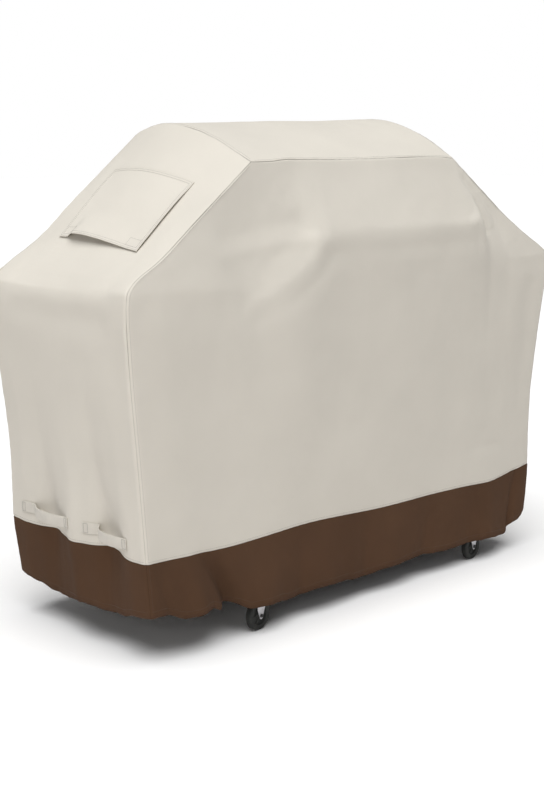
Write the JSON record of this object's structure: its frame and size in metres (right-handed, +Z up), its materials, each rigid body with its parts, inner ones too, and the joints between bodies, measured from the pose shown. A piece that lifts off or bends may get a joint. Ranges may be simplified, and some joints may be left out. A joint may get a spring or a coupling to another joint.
{
  "type": "grill cover",
  "caption": "Fabric grill cover with an arched hood, sloped vented ends, webbing handles and a dark skirt, fitted over its wheeled cart grill.",
  "frame": {"origin": "on the floor, under the middle of the cover", "axes": "+X to the right along the front, -Y to the front, +Z up"},
  "size_m": [1.507, 0.5654, 1.2256],
  "materials": {
    "cream_cloth": "woven polyester, coated, matt",
    "brown_cloth": "woven polyester, coated, matt",
    "vent_net": "open polyester net",
    "webbing": "flat woven webbing",
    "fastener_tape": "hook-and-loop tape",
    "painted_steel": "satin powder coat",
    "lid_enamel": "gloss enamel",
    "handle_steel": "brushed",
    "zinc_steel": "bright zinc plate",
    "caster_rubber": "matt moulded rubber"
  },
  "bodies": {
    "cart": {"leg_front_left": "painted_steel", "leg_front_right": "painted_steel", "leg_back_left": "painted_steel", "leg_back_right": "painted_steel", "bottom_shelf": "painted_steel", "deck_frame": "painted_steel", "side_shelf_left": "painted_steel", "side_shelf_right": "painted_steel", "firebox": "painted_steel", "lid": "lid_enamel", "lid_handle_bar": "handle_steel", "lid_handle_post_left": "handle_steel", "lid_handle_post_right": "handle_steel", "caster_plate_front_left": "zinc_steel", "caster_plate_front_right": "zinc_steel", "caster_plate_back_left": "zinc_steel", "caster_plate_back_right": "zinc_steel"},
    "cover": {"front_panel": "cream_cloth", "back_panel": "cream_cloth", "top_panel": "cream_cloth", "left_end_panel": "cream_cloth", "right_end_panel": "cream_cloth", "skirt_front": "brown_cloth", "skirt_back": "brown_cloth", "skirt_left": "brown_cloth", "skirt_right": "brown_cloth", "vent_mesh_left": "vent_net", "vent_mesh_right": "vent_net", "vent_patch_left_front": "fastener_tape", "vent_patch_left_back": "fastener_tape", "vent_patch_right_front": "fastener_tape", "vent_patch_right_back": "fastener_tape", "handle_left_front": "webbing", "handle_left_back": "webbing", "handle_right_front": "webbing", "handle_right_back": "webbing"},
    "flap_left": {"vent_flap_left": "cream_cloth"},
    "flap_right": {"vent_flap_right": "cream_cloth"},
    "swivel_front_left": {"caster_fork_front_left": "zinc_steel", "caster_axle_front_left": "zinc_steel"},
    "wheel_front_left": {"caster_wheel_front_left": "caster_rubber"},
    "swivel_front_right": {"caster_fork_front_right": "zinc_steel", "caster_axle_front_right": "zinc_steel"},
    "wheel_front_right": {"caster_wheel_front_right": "caster_rubber"},
    "swivel_back_left": {"caster_fork_back_left": "zinc_steel", "caster_axle_back_left": "zinc_steel"},
    "wheel_back_left": {"caster_wheel_back_left": "caster_rubber"},
    "swivel_back_right": {"caster_fork_back_right": "zinc_steel", "caster_axle_back_right": "zinc_steel"},
    "wheel_back_right": {"caster_wheel_back_right": "caster_rubber"}
  },
  "joints": [
    {"name": "cover_lift", "type": "slide", "parent": "cart", "child": "cover", "axis": [0, 0, 1], "range_m": [0, 1.2]},
    {"name": "vent_flap_left_hinge", "type": "hinge", "parent": "cover", "child": "flap_left", "pos_m": [-0.45676, -0.00401, 1.1077], "axis": [-0.0023, 0.9911, 0.1331], "range_deg": [0, 60]},
    {"name": "vent_flap_right_hinge", "type": "hinge", "parent": "cover", "child": "flap_right", "pos_m": [0.50446, -0.00398, 1.10729], "axis": [-0.0023, -0.9911, -0.1329], "range_deg": [0, 60]},
    {"name": "swivel_front_left_turn", "type": "hinge", "parent": "cart", "child": "swivel_front_left", "pos_m": [-0.331, -0.2435, 0.0904], "axis": [0, 0, 1], "continuous": true},
    {"name": "wheel_front_left_spin", "type": "hinge", "parent": "swivel_front_left", "child": "wheel_front_left", "pos_m": [-0.34486, -0.24545, 0.038], "axis": [-0.1392, 0.9903, 0], "continuous": true},
    {"name": "swivel_front_right_turn", "type": "hinge", "parent": "cart", "child": "swivel_front_right", "pos_m": [0.493, -0.2435, 0.0904], "axis": [0, 0, 1], "continuous": true},
    {"name": "wheel_front_right_spin", "type": "hinge", "parent": "swivel_front_right", "child": "wheel_front_right", "pos_m": [0.47914, -0.24545, 0.038], "axis": [-0.1392, 0.9903, 0], "continuous": true},
    {"name": "swivel_back_left_turn", "type": "hinge", "parent": "cart", "child": "swivel_back_left", "pos_m": [-0.331, 0.2435, 0.0904], "axis": [0, 0, 1], "continuous": true},
    {"name": "wheel_back_left_spin", "type": "hinge", "parent": "swivel_back_left", "child": "wheel_back_left", "pos_m": [-0.34486, 0.24155, 0.038], "axis": [-0.1392, 0.9903, 0], "continuous": true},
    {"name": "swivel_back_right_turn", "type": "hinge", "parent": "cart", "child": "swivel_back_right", "pos_m": [0.493, 0.2435, 0.0904], "axis": [0, 0, 1], "continuous": true},
    {"name": "wheel_back_right_spin", "type": "hinge", "parent": "swivel_back_right", "child": "wheel_back_right", "pos_m": [0.47914, 0.24155, 0.038], "axis": [-0.1392, 0.9903, 0], "continuous": true}
  ]
}
